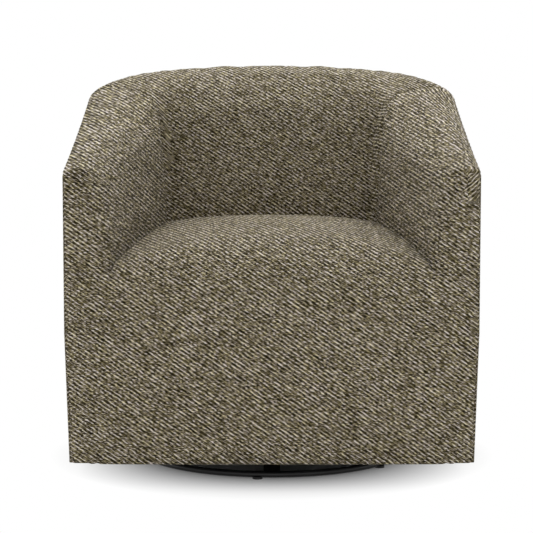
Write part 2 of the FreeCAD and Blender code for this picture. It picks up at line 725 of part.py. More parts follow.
# Turntable: plate, axle stand, rock axle with its clips, springs in their cups
def turntable():
    hole = [(BUSH_RADIUS, ("0", "0"))]
    width = "sizes.plate_width"
    plate = rounded_plate("turntable_plate", width, width, "sizes.plate_thickness", "sizes.plate_corner",
                          PLATE_Z, hole)
    keep(plate, "turntable_plate")
    stand = new_body("axle_stand")
    sketch = sketch_on(stand, "XZ_Plane", "stand_outline")
    top = f"sizes.axle_height + sizes.ear_below - ({PLATE_TOP})"
    out, inside = "sizes.stand_half", "sizes.stand_half - sizes.stand_metal"
    draw_polygon(sketch, [
        (f"-{out}", "0"), (out, "0"), (out, top), (inside, top), (inside, "sizes.stand_metal"),
        (f"-({inside})", "sizes.stand_metal"), (f"-({inside})", top), (f"-{out}", top),
    ])
    pad(stand, sketch, "sizes.stand_width", midplane=True)
    head_hole = sketch_on(stand, "XY_Plane", "stand_head_hole")
    draw_circle(head_hole, "sizes.pin_head_radius + sizes.bush_wall")
    pocket_through(stand, head_hole, "stand_head_room")
    axle_hole = sketch_on(stand, "YZ_Plane", "stand_axle_hole")
    draw_circle(axle_hole, "sizes.axle_radius", ("0", f"sizes.axle_height - ({PLATE_TOP})"))
    pocket_through(stand, axle_hole, "stand_axle_bore")
    keep(place(stand, z=PLATE_TOP), "axle_stand")
    end = f"{EAR_OUTSIDE} + 2 * sizes.lift_gap + 2 * sizes.clip_metal"
    axle = cross_cylinder("rock_axle", "sizes.axle_radius", f"-({end})", end, "0", "sizes.axle_height")
    keep(axle, "rock_axle")
    clips = []
    near = f"{EAR_OUTSIDE} + sizes.lift_gap"
    for side, way in SIDES:
        low, high = span(near, f"{near} + sizes.clip_metal", way)
        washer = cross_cylinder(f"clip_{side}_disc", "sizes.axle_radius + sizes.clip_wall", low, high,
                                "0", "sizes.axle_height")
        hole = cross_cylinder(f"clip_{side}_hole", "sizes.axle_radius", low, high, "0", "sizes.axle_height")
        clips.append(cut(f"clip_{side}", washer, hole))
    keep(group("axle_clips", clips), "axle_clips")
    cups = [spring_cup(f"lower_cup_{name}", x, y, PLATE_TOP, 1) for name, x, y in spring_places()]
    keep(group("lower_spring_cups", cups), "lower_spring_cups")
    foot, top = formula_value(SPRING_FOOT), formula_value(SPRING_TOP)
    height = top - foot - size("lift_gap")
    shape = coil(size("spring_radius"), size("spring_wire"), height, SPRING_TURNS)
    for name, x, y in spring_places():
        spring = solid(f"rocker_spring_{name}", shape)
        place(spring, x, y, SPRING_FOOT)
        keep(spring, f"rocker_spring_{name}")


# Rocker: plate, ears with their bushes, upper cups, and the rails that the plate is bolted to
def rocker():
    bolts = [(f"{sx} * sizes.rail_x", f"{sy} * sizes.bolt_y") for sx in (-1, 1) for sy in (-1, 1)]
    holes = [("sizes.bolt_radius", centre) for centre in bolts]
    plate = rounded_plate("rocker_plate", "sizes.rocker_length", "sizes.rocker_width", "sizes.rocker_metal",
                          "sizes.rocker_corner", "sizes.rocker_height", holes)
    keep(plate, "rocker_plate")
    for side, way in SIDES:
        low, high = span(EAR_INSIDE, EAR_OUTSIDE, way)
        half = "sizes.ear_width / 2"
        foot = "sizes.axle_height - sizes.ear_below"
        blank = box(f"ear_{side}_blank", low, high, f"-{half}", half, foot, "sizes.rocker_height")
        bore = cross_cylinder(f"ear_{side}_bore", AXLE_BUSH_RADIUS, low, high, "0", "sizes.axle_height")
        keep(cut(f"rocker_ear_{side}", blank, bore), f"rocker_ear_{side}")
    bushes = []
    for side, way in SIDES:
        low, high = span(EAR_INSIDE, EAR_OUTSIDE, way)
        tube = cross_cylinder(f"bush_{side}_tube", AXLE_BUSH_RADIUS, low, high, "0", "sizes.axle_height")
        bore = cross_cylinder(f"bush_{side}_bore", "sizes.axle_radius + sizes.run_gap", low, high,
                              "0", "sizes.axle_height")
        bushes.append(cut(f"bush_{side}", tube, bore))
    keep(group("rocker_bushes", bushes), "rocker_bushes")
    top = "sizes.rocker_height"
    cups = [spring_cup(f"upper_cup_{name}", x, y, top, -1) for name, x, y in spring_places()]
    keep(group("upper_spring_cups", cups), "upper_spring_cups")
    rail_top = f"{ROCKER_TOP} + sizes.rail_height"
    for side, way in SIDES:
        half = "sizes.rail_width / 2"
        x_low, x_high = span(f"sizes.rail_x - {half}", f"sizes.rail_x + {half}", way)
        blank = box(f"rail_{side}_blank", x_low, x_high, f"{LAYER_FORMULA} + sizes.board",
                    "sizes.overall_depth / 2 - sizes.back_board - sizes.board", ROCKER_TOP, rail_top)
        drills = []
        for end, y_way in ENDS:
            x, y = f"{way} * sizes.rail_x", f"{y_way} * sizes.bolt_y"
            name = f"rail_{side}_hole_{end}"
            drills.append(cylinder(name, "sizes.bolt_radius", "sizes.rail_height", x, y, ROCKER_TOP))
        holes = group(f"rail_{side}_holes", drills)
        keep(cut(f"mechanism_rail_{side}", blank, holes), f"mechanism_rail_{side}")
    shanks, nuts = [], []
    for i, (x, y) in enumerate(bolts, 1):
        shank_top = f"{rail_top} + sizes.nut_height + sizes.bolt_spare"
        bolt = new_body(f"bolt_{i}")
        neck, end = "sizes.bolt_head", f"sizes.bolt_head + {shank_top} - sizes.rocker_height"
        revolve(bolt, [("0", "0"), ("sizes.bolt_head_radius", "0"), ("sizes.bolt_head_radius", neck),
                       ("sizes.bolt_radius", neck), ("sizes.bolt_radius", end), ("0", end)])
        shanks.append(place(bolt, x, y, "sizes.rocker_height - sizes.bolt_head"))
        nut = doc.addObject("Part::Prism", f"nut_{i}_blank")
        nut.Polygon = 6
        place(bind(nut, Circumradius="sizes.nut_radius", Height="sizes.nut_height"), x, y, rail_top)
        hole = cylinder(f"nut_{i}_hole", "sizes.bolt_radius", "sizes.nut_height", x, y, rail_top)
        nuts.append(cut(f"nut_{i}", nut, hole))
    keep(group("frame_bolts", shanks), "frame_bolts")
    keep(group("frame_nuts", nuts), "frame_nuts")


LAYER_FORMULA = "-sizes.overall_depth / 2 + sizes.front_layer"


def mirror_of(source, name):
    twin = doc.addObject("Part::Mirroring", name)
    twin.Source = source
    twin.Base = Vector(0, 0, 0)
    twin.Normal = Vector(1, 0, 0)
    return twin


def mirrored(source, name):
    """The other side's twin of a piece."""
    return keep(mirror_of(source, name), name)


# Inside arms with their fronts and rolled tops, and the inside back
def pads():
    whole = tub()
    wedge = mitre_wedge()
    outside = layer(size("cover") + size("panel"), 0, UNDERSIDE)
    front_box = slab(-WIDE, WIDE, FRONT_Y - SPARE, LAYER_Y, UNDERSIDE, size("arm_seam"))
    right_side = slab(0, WIDE, FRONT_Y - SPARE, REAR_Y + SPARE, 0, 2 * TALL)
    right_half = whole.common(wedge).common(right_side)
    half = solid("back_half", right_half.cut([outside, frame_space.Shape]).Solids[0])
    twin = mirror_of(half, "back_half_twin")
    keep(fuse("back_pad", [half, twin], refine=True), "back_pad")
    arms = whole.cut(wedge).Solids
    right = max(arms, key=lambda arm: arm.CenterOfMass.x)
    hollow = right.cut([outside, front_box, frame_space.Shape])
    arm = keep(solid("arm_pad_right", hollow.Solids[0]), "arm_pad_right")
    mirrored(arm, "arm_pad_left")


def front_line(x):
    """The front's y at a distance from the middle."""
    radius = bow_radius(size("front_corner"), size("front_bow"))
    return FRONT_Y + radius - math.sqrt(radius ** 2 - x ** 2)


def seat_section(x, front, middle, rear, nose):
    """A lengthwise section of the seat: upright front, front roll, crowned top and upright rear."""
    front_y, rear_y = front_line(x), FRONT_Y + size("seat_depth") + SPARE
    lean = nose * (1 - math.sqrt(0.5))
    points = [Vector(x, front_y, DECK_TOP), Vector(x, front_y, front - nose),
              Vector(x, front_y + lean, front - lean), Vector(x, front_y + nose, front),
              Vector(x, (front_y + nose + rear_y - SPARE) / 2, middle), Vector(x, rear_y, rear),
              Vector(x, rear_y, DECK_TOP)]
    edges = [
        Part.LineSegment(points[0], points[1]),
        Part.Arc(points[1], points[2], points[3]),
        Part.Arc(points[3], points[4], points[5]),
        Part.LineSegment(points[5], points[6]),
        Part.LineSegment(points[6], points[0]),
    ]
    return Part.Wire([edge.toShape() for edge in edges])


# Seat pad: crowned, with a front roll that comes down to the front panel
def seat():
    half = size("inside_front") / 2 + SPARE / 2
    centre = [size("seat_front"), size("seat_crown"), size("seat_rear"), size("seat_nose")]
    edge = [size("seat_corner"), size("seat_side"), size("seat_rear_corner"), size("seat_nose_side")]
    sections = []
    for share in (-1, -0.5, 0, 0.5, 1):
        crown = {0: 1, 0.5: size("seat_quarter"), 1: 0}[abs(share)]
        heights = [low + (high - low) * crown for low, high in zip(edge, centre)]
        sections.append(seat_section(share * half, *heights))
    domed = Part.makeLoft(sections, True, False)
    pad_shape = domed.common(well(-size("fit_gap")))
    keep(solid("seat_pad", pad_shape.Solids[0]), "seat_pad")


# Front panel: full width below the arms, hollowed where the seat comes down to it
def front():
    slab_shape = slab(-WIDE, WIDE, FRONT_Y - SPARE, LAYER_Y, UNDERSIDE, size("arm_seam"))
    shape = upright_block(0).common(slab_shape).cut(well(0))
    keep(solid("front_panel", shape.Solids[0]), "front_panel")


# Outside: fibreboard with the cover over it, and the dust cover below
def outside():
    cover_inset, panel_inset = size("cover"), size("cover") + size("panel")
    low = UNDERSIDE + size("hem_gap")
    keep(solid("outside_panel", layer(panel_inset, cover_inset, low).Solids[0]), "outside_panel")
    keep(solid("outside_cover", layer(cover_inset, 0, UNDERSIDE).Solids[0]), "outside_cover")
    opening = size("dust_opening") / 2
    sheet_slab = slab(-WIDE, WIDE, LAYER_Y, REAR_Y, low - size("dust_sheet"), low)
    opening_slab = slab(-opening, opening, -opening, opening, 0, TALL)
    dust_sheet = upright_block(panel_inset).common(sheet_slab).cut(opening_slab)
    keep(solid("dust_cover", dust_sheet.Solids[0]), "dust_cover")


CLIP_TOP = "sizes.seat_rail_top + 2 * sizes.clip_skin + sizes.deck_wire"
LOW = "sizes.underside + sizes.hem_gap"
BACK_FACE = "sizes.overall_depth / 2 - sizes.back_board"
POST_REAR = f"{LAYER_FORMULA} + sizes.board + sizes.post"
CORNER_Y = "sizes.overall_depth / 2 - sizes.rear_corner"
CORNER_X = "sizes.overall_width / 2 - sizes.rear_corner"
WALL = "sizes.cover + sizes.panel + sizes.hem_taper"
SIDE_OUT = "sizes.overall_width / 2"
SIDE_IN = f"{SIDE_OUT} - ({WALL}) - sizes.board"
RAIL_LOW = "sizes.seat_rail_top - sizes.seat_rail"


def board(name, *corners, space=None):
    """A board: a box cut to the frame's space, so that it follows the outside and the padding."""
    return keep(common(name, box(f"{name}_blank", *corners), space or frame_space), name)


def board_pair(name, *corners, space=None):
    """A board on the right and its twin on the left."""
    mirrored(board(f"{name}_right", *corners, space=space), f"{name}_left")


def corner_blank(name, z_low, z_high):
    """A board set across a rear corner, from the side board's end to the rear board's end."""
    start = Vector(formula_value(SIDE_IN) + size("board") / 2, formula_value(CORNER_Y), 0)
    end = Vector(formula_value(CORNER_X), formula_value(BACK_FACE) - size("board") / 2, 0)
    along = (end - start).normalize()
    across = Vector(-along.y, along.x, 0) * (size("board") / 2)
    points = [start + across, start - across, end - across, end + across]
    points = [Vector(p.x, p.y, z_low) for p in points]
    face = Part.Face(Part.makePolygon(points + points[:1]))
    blank = face.extrude(Vector(0, 0, z_high - z_low))
    side_limit = slab(0, WIDE, formula_value(CORNER_Y), WIDE, z_low, z_high)
    rear_limit = slab(formula_value(CORNER_X), WIDE, 0, WIDE, z_low, z_high)
    return solid(name, blank.common(side_limit).common(rear_limit))


# Hardwood frame: bottom rails, seat rails, posts and top rails
def wooden_frame():
    low_top = f"{LOW} + sizes.bottom_rail"
    front_y = ("-sizes.overall_depth / 2", f"{LAYER_FORMULA} + sizes.board")
    rear_y = (f"{BACK_FACE} - sizes.board", BACK_FACE)
    inner_x = f"{CORNER_X} - sizes.post"
    board("bottom_rail_front", f"-{SIDE_OUT}", SIDE_OUT, *front_y, LOW, low_top)
    board("bottom_rail_rear", f"-({inner_x})", inner_x, *rear_y, LOW, low_top)
    board_pair("bottom_rail", SIDE_IN, SIDE_OUT, POST_REAR, CORNER_Y, LOW, low_top)
    board("seat_rail_front", f"-{SIDE_OUT}", SIDE_OUT, *front_y, RAIL_LOW, "sizes.seat_rail_top")
    board_pair("seat_rail", SIDE_IN, SIDE_OUT, POST_REAR, CORNER_Y, RAIL_LOW, "sizes.seat_rail_top")
    board("seat_rail_rear", f"-({SIDE_IN})", SIDE_IN, REAR_RAIL_Y, f"{REAR_RAIL_Y} + sizes.board",
          RAIL_LOW, "sizes.seat_rail_top")
    top_rails_zone = above_top(size("top_padding") + size("top_rail"))
    top = solid("top_rail_space", frame_space.Shape.common(top_rails_zone))
    post_front = f"{LAYER_FORMULA} + sizes.board"
    back_top = "sizes.back_height"
    board_pair("front_post", f"{SIDE_OUT} - ({WALL}) - sizes.post", SIDE_OUT, post_front, POST_REAR,
               LOW, back_top, space=below_rails)
    board_pair("rear_post", inner_x, CORNER_X, f"{BACK_FACE} - sizes.post", BACK_FACE,
               LOW, back_top, space=below_rails)
    board_pair("arm_top_rail", f"{SIDE_OUT} - sizes.arm_rail", SIDE_OUT, post_front, CORNER_Y,
               "sizes.arm_seam", back_top, space=top)
    board("back_top_rail", f"-({CORNER_X})", CORNER_X, TOP_RAIL_Y, BACK_FACE,
          "sizes.arm_seam", back_top, space=top)
    for name, space, z_low, z_high in (
        ("bottom_corner_rail", frame_space, UNDERSIDE, formula_value(low_top)),
        ("top_corner_rail", top, size("arm_seam"), TALL),
    ):
        blank = corner_blank(f"{name}_blank", z_low, z_high)
        mirrored(keep(common(f"{name}_right", blank, space), f"{name}_right"), f"{name}_left")


def web_line(height):
    """The back webbing's y at a height: just behind the inside back's padding."""
    rise = height - size("arm_seam")
    return FRONT_Y + size("seat_depth") + size("pad_thickness") + size("back_lean") * rise


# Back webbing, from the rear seat rail up to the back top rail
def webbing():
    z_low = size("seat_rail_top") - size("seat_rail") / 2
    z_high = size("back_height") - size("top_padding") - size("top_rail")
    bands = []
    for i in range(BANDS):
        x = (i - (BANDS - 1) / 2) * size("deck_pitch")
        half = size("band_width") / 2
        corners = [(web_line(z_low), z_low), (web_line(z_high), z_high)]
        points = [Vector(x - half, y, z) for y, z in corners]
        points += [Vector(x - half, y + size("band_thickness"), z) for y, z in reversed(corners)]
        face = Part.Face(Part.makePolygon(points + points[:1]))
        bands.append(solid(f"band_{i + 1}", face.extrude(Vector(2 * half, 0, 0))))
    keep(group("back_webbing", bands), "back_webbing")


def zigzag_path(x, start_y, step):
    """A zigzag spring's line: straight runs across, joined by half turns of two quarter arcs each."""
    radius = step / 2
    half = size("zigzag_width") / 2 - radius
    height = size("seat_rail_top") + size("clip_skin") + size("deck_wire") / 2
    edges = []
    for i in range(ZIGZAG_RUNS):
        way = 1 if i % 2 == 0 else -1
        y = start_y + step * i
        run_start = Vector(x - way * half, y, height)
        run_end = Vector(x + way * half, y, height)
        edges.append(Part.LineSegment(run_start, run_end))
        if i == ZIGZAG_RUNS - 1:
            break
        centre = Vector(x + way * half, y + radius, height)
        diagonal = radius * math.sqrt(0.5)
        tip = centre + Vector(way * radius, 0, 0)
        next_start = centre + Vector(0, radius, 0)
        edges.append(Part.Arc(run_end, centre + Vector(way * diagonal, -diagonal, 0), tip))
        edges.append(Part.Arc(tip, centre + Vector(way * diagonal, diagonal, 0), next_start))
    return Part.Wire([edge.toShape() for edge in edges])


# Seat deck: zigzag springs held by clips on the seat rails, with felt over them
def deck():
    inset = size("clip_length") / 2
    start_y = LAYER_Y + size("board") - inset
    end_y = formula_value(REAR_RAIL_Y) + inset
    step = (end_y - start_y) / (ZIGZAG_RUNS - 1)
    z_low, z_high = size("seat_rail_top"), formula_value(CLIP_TOP)
    springs, clips = [], []
    for i in range(ZIGZAG_SPRINGS):
        x = (i - (ZIGZAG_SPRINGS - 1) / 2) * size("deck_pitch")
        path = zigzag_path(x, start_y, step)
        start = path.Edges[0].Vertexes[0].Point
        section = Part.Wire(Part.makeCircle(size("deck_wire") / 2, start, Vector(1, 0, 0)))
        springs.append(solid(f"deck_spring_{i + 1}", path.makePipeShell([section], True, False)))
        half = size("clip_width") / 2
        for end, y in (("front", start_y), ("rear", end_y)):
            blank = slab(x - half, x + half, y - inset, y + inset, z_low, z_high)
            clips.append(solid(f"clip_{end}_{i + 1}", blank.cut(springs[-1].Shape)))
    keep(group("deck_springs", springs), "deck_springs")
    keep(group("spring_clips", clips), "spring_clips")
    print(f"deck spring: least gap between runs {step - size('deck_wire'):.1f} mm")
    felt_rear = f"{REAR_RAIL_Y} - 2 * sizes.band_thickness"
    felt = box("felt_blank", f"-({SIDE_IN})", SIDE_IN, LAYER_FORMULA, felt_rear,
               CLIP_TOP, f"{CLIP_TOP} + sizes.deck_felt")
    posts = [doc.getObject(f"front_post_{side}") for side, way in SIDES]
    keep(cut("deck_felt", felt, group("felt_notches", posts)), "deck_felt")


REAR_RAIL_Y = ("-sizes.overall_depth / 2 + sizes.seat_depth + sizes.pad_thickness"
               " + sizes.band_thickness - sizes.back_lean * (sizes.arm_seam - sizes.seat_rail_top)")
TOP_RAIL_Y = ("-sizes.overall_depth / 2 + sizes.seat_depth + sizes.pad_thickness + sizes.band_thickness"
              " + sizes.back_lean * (sizes.back_height - sizes.top_padding - sizes.arm_seam)")

frame_space = solid("frame_space", frame_zone())
below_rails = solid("post_space", frame_space.Shape.cut(above_top(size("top_padding") + size("top_rail"))))

floor_base()
swivel_bearing()
turntable()
rocker()
wooden_frame()
webbing()
deck()
seat()
front()
pads()
outside()

# Every object has to be sound before anything is written
doc.recompute()
for item in doc.Objects:
    if "Invalid" in item.State or "Error" in item.State:
        raise RuntimeError(f"{item.Name} failed: {item.State}")
os.makedirs("parts", exist_ok=True)
for part in parts:
    if part.Shape.isNull() or not part.Shape.isValid() or not part.Shape.Solids:
        raise RuntimeError(f"{part.Label} has no valid solid")
for part in parts:
    part.Shape.exportStep(f"parts/{part.Label}.step")
print(len(parts), "sub-parts")
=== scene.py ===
import math

import bmesh
import bpy
import numpy as np
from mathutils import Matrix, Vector
from mathutils.bvhtree import BVHTree


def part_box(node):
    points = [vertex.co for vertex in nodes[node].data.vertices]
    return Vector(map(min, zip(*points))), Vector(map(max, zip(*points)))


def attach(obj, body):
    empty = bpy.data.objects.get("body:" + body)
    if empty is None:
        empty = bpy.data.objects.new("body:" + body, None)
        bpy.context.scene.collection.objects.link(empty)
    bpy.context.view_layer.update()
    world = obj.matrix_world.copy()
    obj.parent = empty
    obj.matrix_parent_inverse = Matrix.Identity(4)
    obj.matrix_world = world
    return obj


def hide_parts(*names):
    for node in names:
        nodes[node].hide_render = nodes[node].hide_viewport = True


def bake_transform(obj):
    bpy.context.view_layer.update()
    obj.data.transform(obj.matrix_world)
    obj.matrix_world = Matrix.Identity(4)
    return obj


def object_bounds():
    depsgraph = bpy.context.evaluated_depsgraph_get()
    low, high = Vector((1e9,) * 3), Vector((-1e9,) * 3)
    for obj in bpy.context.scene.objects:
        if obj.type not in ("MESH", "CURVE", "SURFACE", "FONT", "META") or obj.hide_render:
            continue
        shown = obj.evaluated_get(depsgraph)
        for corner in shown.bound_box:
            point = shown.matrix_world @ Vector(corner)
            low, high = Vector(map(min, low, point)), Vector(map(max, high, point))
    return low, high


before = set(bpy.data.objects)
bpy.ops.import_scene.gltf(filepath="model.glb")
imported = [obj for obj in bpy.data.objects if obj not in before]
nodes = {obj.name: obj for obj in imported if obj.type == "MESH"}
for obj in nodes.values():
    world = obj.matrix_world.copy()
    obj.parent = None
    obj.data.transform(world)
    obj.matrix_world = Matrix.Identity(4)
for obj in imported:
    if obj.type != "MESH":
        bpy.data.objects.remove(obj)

MM = 0.001
cad_box = [list(corner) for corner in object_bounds()]

# Camera
# The photograph was taken from in front with a long lens, from a little above the chair's top, and
# the chair sits a little to the right of the frame's middle.
PHOTO_SIZE = 533
CHAIR_MIDDLE_PX = 271.8
LENS_PX = 2097
SENSOR = 36
CAMERA_DISTANCE = 4.312
CAMERA_HEIGHT = 0.861
CAMERA_PITCH = math.radians(6.24)
camera_data = bpy.data.cameras.new("camera")
camera_data.sensor_width = SENSOR
camera_data.lens = LENS_PX / PHOTO_SIZE * SENSOR
camera_data.shift_x = (PHOTO_SIZE / 2 - CHAIR_MIDDLE_PX) / PHOTO_SIZE
camera = bpy.data.objects.new("camera", camera_data)
camera.location = (0, -CAMERA_DISTANCE, CAMERA_HEIGHT)
camera.rotation_euler = (math.pi / 2 - CAMERA_PITCH, 0, 0)
bpy.context.scene.collection.objects.link(camera)
bpy.context.scene.camera = camera


# Floor ring and cross arms
# Bent steel tube and flat bar, welded into one spider and powder coated black. The coat is a
# little orange-peeled, and it is rubbed dull where feet reach the ring.
class Nodes:
    """A material's node tree, written as short calls. Each returns the socket that it ends in."""

    def __init__(self, name):
        self.material = bpy.data.materials.new(name)
        self.material.use_nodes = True
        self.tree = self.material.node_tree
        self.tree.nodes.clear()

    def add(self, kind, **settings):
        """A new node, returned whole."""
        node = self.tree.nodes.new(kind)
        for key, value in settings.items():
            setattr(node, key, value)
        return node

    def feed(self, socket, value):
        """Links a socket to another, or sets its number."""
        if isinstance(value, bpy.types.NodeSocket):
            self.tree.links.new(value, socket)
        else:
            socket.default_value = value

    def math(self, operation, a, b=0.0, c=0.0):
        node = self.add("ShaderNodeMath", operation=operation)
        for socket, value in zip(node.inputs, (a, b, c)):
            self.feed(socket, value)
        return node.outputs[0]

    def mix(self, share, a, b, blend="MIX"):
        node = self.add("ShaderNodeMix", data_type="RGBA", blend_type=blend)
        self.feed(node.inputs[0], share)
        self.feed(node.inputs[6], a)
        self.feed(node.inputs[7], b)
        return node.outputs[2]

    def noise(self, place, scale, detail=2.0, roughness=0.5):
        node = self.add("ShaderNodeTexNoise")
        self.feed(node.inputs["Vector"], place)
        node.inputs["Scale"].default_value = scale
        node.inputs["Detail"].default_value = detail
        node.inputs["Roughness"].default_value = roughness
        return node.outputs["Fac"]

    def ramp(self, value, *stops):
        node = self.add("ShaderNodeValToRGB")
        self.feed(node.inputs[0], value)
        band = node.color_ramp
        while len(band.elements) < len(stops):
            band.elements.new(0.5)
        for element, (position, colour) in zip(band.elements, stops):
            element.position = position
            element.color = colour
        return node.outputs[0]

    def place(self, scale=(1, 1, 1)):
        """Object coordinates, stretched."""
        coordinates = self.add("ShaderNodeTexCoord")
        mapping = self.add("ShaderNodeMapping")
        mapping.inputs["Scale"].default_value = scale
        self.feed(mapping.inputs["Vector"], coordinates.outputs["Object"])
        return mapping.outputs[0]

    def surface(self, colour, roughness, bump=None, bump_depth=0.0, **plain):
        """The shader, with numbers that are the same all over set on its own sockets."""
        shader = self.add("ShaderNodeBsdfPrincipled")
        self.feed(shader.inputs["Base Color"], colour)
        self.feed(shader.inputs["Roughness"], roughness)
        for name, value in plain.items():
            shader.inputs[name.replace("_", " ")].default_value = value
        if bump is not None:
            height = self.add("ShaderNodeBump")
            height.inputs["Distance"].default_value = bump_depth
            self.feed(height.inputs["Height"], bump)
            self.feed(shader.inputs["Normal"], height.outputs[0])
        output = self.add("ShaderNodeOutputMaterial")
        self.feed(output.inputs[0], shader.outputs[0])
        return self.material


def grey(level):
    return (level, level, level, 1)


def coated_steel(name, dark, light, gloss):
    """Paint or powder on steel: a fine peel and a duller, lighter rub here and there. gloss is the
    roughness where it isn't rubbed."""
    make = Nodes(name)
    rub = make.noise(make.place(), scale=9, detail=3)
    peel = make.noise(make.place(), scale=900, detail=2)
    colour = make.ramp(rub, (0.45, grey(dark)), (0.75, grey(light)))
    roughness = make.math("MULTIPLY_ADD", rub, 0.25, gloss)
    return make.surface(colour, roughness, peel, 0.08 * MM)


def dress(material, *names):
    """Gives CAD nodes their finish."""
    for name in names:
        mesh = nodes[name].data
        mesh.materials.clear()
        mesh.materials.append(material)


powder_coat = coated_steel("black_powder_coat", dark=0.006, light=0.02, gloss=0.28)
dress(powder_coat, "base_ring", "cross_arms")

# Glides under the ring
# Small black nylon feet, pressed on under the tube. Their sides are scuffed from being pushed
# across floors.
make = Nodes("black_nylon")
scuff = make.noise(make.place((1, 1, 5)), scale=160, detail=4, roughness=0.7)
nylon_colour = make.ramp(scuff, (0.4, grey(0.012)), (0.8, grey(0.07)))
nylon_roughness = make.math("MULTIPLY_ADD", scuff, 0.3, 0.4)
dress(make.surface(nylon_colour, nylon_roughness, scuff, 0.1 * MM), "floor_glides")

# Pressed plates of the mechanism
# Hub plate, races, turntable, axle stand, rocker plate, ears and spring cups are pressed from
# mild steel sheet and dipped in black paint.
dipped_steel = coated_steel("dipped_steel", dark=0.015, light=0.045, gloss=0.35)
dress(dipped_steel, "hub_plate", "lower_race", "upper_race", "turntable_plate", "axle_stand",
      "rocker_plate", "rocker_ear_left", "rocker_ear_right", "lower_spring_cups", "upper_spring_cups")

# Bearing balls, cage and bushes
# Polished chrome-steel balls run in grease between the races, held apart by a nylon cage. The
# king pin and the rock axle turn in bushes of the same natural nylon.
make = Nodes("polished_steel")
grease = make.noise(make.place(), scale=300, detail=2)
ball_colour = make.ramp(grease, (0.5, grey(0.62)), (0.8, (0.5, 0.46, 0.36, 1)))
ball_roughness = make.math("MULTIPLY_ADD", grease, 0.2, 0.08)
dress(make.surface(ball_colour, ball_roughness, Metallic=1.0), "bearing_balls")
make = Nodes("natural_nylon")
cloud = make.noise(make.place(), scale=60, detail=3)
bush_colour = make.ramp(cloud, (0.3, (0.62, 0.57, 0.44, 1)), (0.8, (0.76, 0.72, 0.6, 1)))
dress(make.surface(bush_colour, 0.5, cloud, 0.05 * MM), "ball_cage", "pin_bush", "rocker_bushes")

# King pin, rock axle, clips, bolts and nuts
# Turned or cold-formed steel, zinc plated. The plating has the faint yellow bloom of a clear
# passivation and fine turning marks.
make = Nodes("zinc_plate")
bloom = make.noise(make.place(), scale=70, detail=4)
turning = make.noise(make.place((1, 1, 40)), scale=220, detail=2)
zinc_colour = make.ramp(bloom, (0.35, (0.46, 0.46, 0.47, 1)), (0.7, (0.58, 0.55, 0.45, 1)))
zinc_roughness = make.math("MULTIPLY_ADD", turning, 0.25, 0.2)
dress(make.surface(zinc_colour, zinc_roughness, turning, 0.04 * MM, Metallic=1.0),
      "king_pin", "rock_axle", "axle_clips", "frame_bolts", "frame_nuts")

# Zigzag seat springs and their clips
# Hard-drawn spring wire, blackened in oil. The black is thin and brown where it has been bent.
make = Nodes("oiled_wire")
film = make.noise(make.place(), scale=120, detail=4, roughness=0.6)
wire_colour = make.ramp(film, (0.35, grey(0.03)), (0.75, (0.11, 0.09, 0.075, 1)))
wire_roughness = make.math("MULTIPLY_ADD", film, 0.3, 0.3)
oiled_wire = make.surface(wire_colour, wire_roughness, film, 0.05 * MM, Metallic=0.8)
dress(oiled_wire, "deck_springs", "spring_clips")


# Rocker springs
# Four coils of the same wire, each held between a cup on the turntable and a cup under the chair.
WELD = 0.02 * MM


def cad_copy(name, *sources):
    """A new piece that starts as the welded surface of some CAD solids."""
    shell = bmesh.new()
    for source in sources:
        shell.from_mesh(nodes[source].data)
    bmesh.ops.remove_doubles(shell, verts=shell.verts, dist=WELD)
    mesh = bpy.data.meshes.new(name)
    shell.to_mesh(mesh)
    shell.free()
    piece = bpy.data.objects.new(name, mesh)
    bpy.context.scene.collection.objects.link(piece)
    return piece


for spring in [name for name in nodes if name.startswith("rocker_spring")]:
    coil = cad_copy(spring + "_coil", spring)
    coil.data.materials.append(oiled_wire)
    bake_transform(coil)
    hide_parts(spring)


# Hardwood frame
# Kiln-dried boards and posts, sawn and planed but not finished, glued and screwed at the corners.
# The grain runs along each board.
def planed_wood(name, grain):
    """Growth rings and pores, drawn out along the axis whose grain is small."""
    make = Nodes(name)
    rings = make.noise(make.place(grain), scale=26, detail=5, roughness=0.6)
    pores = make.noise(make.place(grain), scale=210, detail=3, roughness=0.7)
    board = make.ramp(rings, (0.3, (0.36, 0.22, 0.11, 1)), (0.5, (0.5, 0.33, 0.18, 1)),
                      (0.7, (0.6, 0.43, 0.26, 1)))
    colour = make.mix(make.math("MULTIPLY", pores, 0.35), board, (0.2, 0.11, 0.05, 1))
    return make.surface(colour, 0.65, pores, 0.2 * MM)


ALONG = 0.08
CORNER_GRAIN = 0.4
dress(planed_wood("wood_grain_across", (ALONG, 1, 1)), "bottom_rail_front", "bottom_rail_rear",
      "seat_rail_front", "seat_rail_rear", "back_top_rail")
dress(planed_wood("wood_grain_lengthwise", (1, ALONG, 1)), "bottom_rail_left", "bottom_rail_right",
      "seat_rail_left", "seat_rail_right", "arm_top_rail_left", "arm_top_rail_right",
      "mechanism_rail_left", "mechanism_rail_right")
dress(planed_wood("wood_grain_upright", (1, 1, ALONG)), "front_post_left", "front_post_right",
      "rear_post_left", "rear_post_right")
dress(planed_wood("wood_grain_corner", (CORNER_GRAIN, CORNER_GRAIN, 1)), "bottom_corner_rail_left",
      "bottom_corner_rail_right", "top_corner_rail_left", "top_corner_rail_right")

# Fibreboard under the outside cover
# Thin brown board, bent round the rear corners and stapled to the frame, which keeps the outside
# cover flat over the open frame.
make = Nodes("fibreboard")
fibre = make.noise(make.place((1, 1, 0.4)), scale=380, detail=4, roughness=0.7)
board_colour = make.ramp(fibre, (0.3, (0.17, 0.1, 0.055, 1)), (0.75, (0.34, 0.23, 0.14, 1)))
dress(make.surface(board_colour, 0.85, fibre, 0.2 * MM), "outside_panel")


